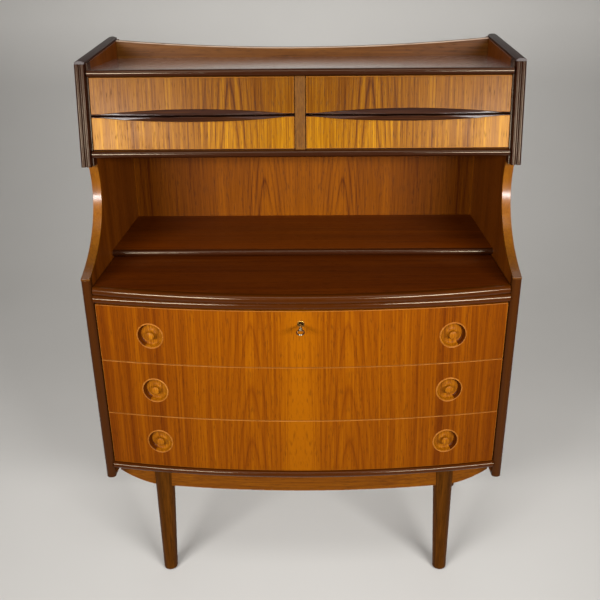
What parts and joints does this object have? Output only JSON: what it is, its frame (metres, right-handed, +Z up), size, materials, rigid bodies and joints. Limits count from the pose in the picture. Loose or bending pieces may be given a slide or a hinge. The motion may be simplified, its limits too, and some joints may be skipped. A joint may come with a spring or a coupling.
{
  "type": "secretary desk",
  "caption": "Teak secretary desk on round tapered legs: small raked drawers over an open niche, a pull-out writing slab and wide bow-front drawers with round recessed pulls and a lock.",
  "frame": {"origin": "on the floor, at the middle of the overall box in X and Y", "axes": "+X to the sitter's right, +Y to the back, +Z up; the drawers open towards -Y"},
  "size_m": [0.864, 0.541, 1.1618],
  "materials": {
    "side_veneer": "satin teak veneer",
    "dark_moulding": "semi-gloss dark stained teak",
    "front_strip_wood": "satin teak",
    "solid_lipping": "semi-gloss solid teak",
    "desk_board": "semi-gloss dark teak veneer",
    "rail_wood": "semi-gloss dark teak",
    "back_veneer": "satin teak veneer",
    "plywood": "bare plywood",
    "divider_wood": "satin teak",
    "small_drawer_veneer": "satin golden teak veneer",
    "lip_wood": "semi-gloss dark teak",
    "big_drawer_veneer": "satin book-matched teak veneer",
    "pull_wood": "satin turned teak",
    "drawer_box_wood": "bare beech",
    "runner_wood": "bare beech",
    "leg_wood": "satin turned wood",
    "apron_wood": "satin teak",
    "glide_plastic": "black nylon",
    "screw_steel": "zinc plated",
    "lock_steel": "plated steel",
    "escutcheon_brass": "aged brass",
    "key_steel": "nickel plated"
  },
  "bodies": {
    "carcass": {"apron_front": "apron_wood", "apron_rear": "apron_wood", "back_gallery": "back_veneer", "back_panel_screws": "screw_steel", "big_drawer_runners": "runner_wood", "bottom_board": "rail_wood", "centre_divider": "divider_wood", "curved_lippings": "solid_lipping", "desk_rail": "rail_wood", "gallery_lipping": "solid_lipping", "leg_frame_cross_rails": "apron_wood", "leg_frame_screws": "screw_steel", "leg_front_left": "leg_wood", "leg_front_right": "leg_wood", "leg_glides": "glide_plastic", "leg_rear_left": "leg_wood", "leg_rear_right": "leg_wood", "lower_back_panel": "plywood", "lower_front_strip_left": "front_strip_wood", "lower_front_strip_right": "front_strip_wood", "niche_ceiling": "desk_board", "niche_ceiling_moulding": "dark_moulding", "niche_shelf": "desk_board", "niche_shelf_nosing": "dark_moulding", "side_caps": "dark_moulding", "side_panel_left": "side_veneer", "side_panel_right": "side_veneer", "small_drawer_runners": "runner_wood", "top_board": "desk_board", "top_moulding": "dark_moulding", "upper_back_panel": "back_veneer", "upper_front_strip_left": "dark_moulding", "upper_front_strip_right": "dark_moulding"},
    "writing_slab": {"writing_slab": "desk_board", "slab_nosing": "desk_board"},
    "small_drawer_upper_left": {"small_drawer_upper_front_left": "small_drawer_veneer", "small_drawer_upper_lip_left": "lip_wood", "small_drawer_upper_box_left": "drawer_box_wood"},
    "small_drawer_upper_right": {"small_drawer_upper_front_right": "small_drawer_veneer", "small_drawer_upper_lip_right": "lip_wood", "small_drawer_upper_box_right": "drawer_box_wood"},
    "small_drawer_lower_left": {"small_drawer_lower_front_left": "small_drawer_veneer", "small_drawer_lower_lip_left": "lip_wood", "small_drawer_lower_box_left": "drawer_box_wood"},
    "small_drawer_lower_right": {"small_drawer_lower_front_right": "small_drawer_veneer", "small_drawer_lower_lip_right": "lip_wood", "small_drawer_lower_box_right": "drawer_box_wood"},
    "big_drawer_top": {"big_drawer_top_front": "big_drawer_veneer", "big_drawer_top_box": "drawer_box_wood", "big_drawer_top_pulls": "pull_wood", "lock_case": "lock_steel", "key_escutcheon": "escutcheon_brass"},
    "big_drawer_middle": {"big_drawer_middle_front": "big_drawer_veneer", "big_drawer_middle_box": "drawer_box_wood", "big_drawer_middle_pulls": "pull_wood"},
    "big_drawer_bottom": {"big_drawer_bottom_front": "big_drawer_veneer", "big_drawer_bottom_box": "drawer_box_wood", "big_drawer_bottom_pulls": "pull_wood"},
    "key": {"key": "key_steel"},
    "lock_bolt": {"lock_bolt": "lock_steel"}
  },
  "joints": [
    {"name": "writing_slab_slide", "type": "slide", "parent": "carcass", "child": "writing_slab", "axis": [0, -1, 0], "range_m": [0, 0.25]},
    {"name": "small_drawer_upper_left_slide", "type": "slide", "parent": "carcass", "child": "small_drawer_upper_left", "axis": [0, -1, 0], "range_m": [0, 0.2]},
    {"name": "small_drawer_upper_right_slide", "type": "slide", "parent": "carcass", "child": "small_drawer_upper_right", "axis": [0, -1, 0], "range_m": [0, 0.2]},
    {"name": "small_drawer_lower_left_slide", "type": "slide", "parent": "carcass", "child": "small_drawer_lower_left", "axis": [0, -1, 0], "range_m": [0, 0.2]},
    {"name": "small_drawer_lower_right_slide", "type": "slide", "parent": "carcass", "child": "small_drawer_lower_right", "axis": [0, -1, 0], "range_m": [0, 0.2]},
    {"name": "big_drawer_top_slide", "type": "slide", "parent": "carcass", "child": "big_drawer_top", "axis": [0, -1, 0], "range_m": [0, 0.3]},
    {"name": "big_drawer_middle_slide", "type": "slide", "parent": "carcass", "child": "big_drawer_middle", "axis": [0, -1, 0], "range_m": [0, 0.3]},
    {"name": "big_drawer_bottom_slide", "type": "slide", "parent": "carcass", "child": "big_drawer_bottom", "axis": [0, -1, 0], "range_m": [0, 0.3]},
    {"name": "key_turn", "type": "hinge", "parent": "big_drawer_top", "child": "key", "pos_m": [0, -0.2185, 0.663], "axis": [0, 1, 0], "range_deg": [0, 90]},
    {"name": "lock_bolt_slide", "type": "slide", "parent": "big_drawer_top", "child": "lock_bolt", "axis": [0, 0, 1], "range_m": [0, 0.008]}
  ],
  "couplings": [
    {"joint": "key_turn", "follows": "lock_bolt_slide", "rad_per_m": 196}
  ]
}
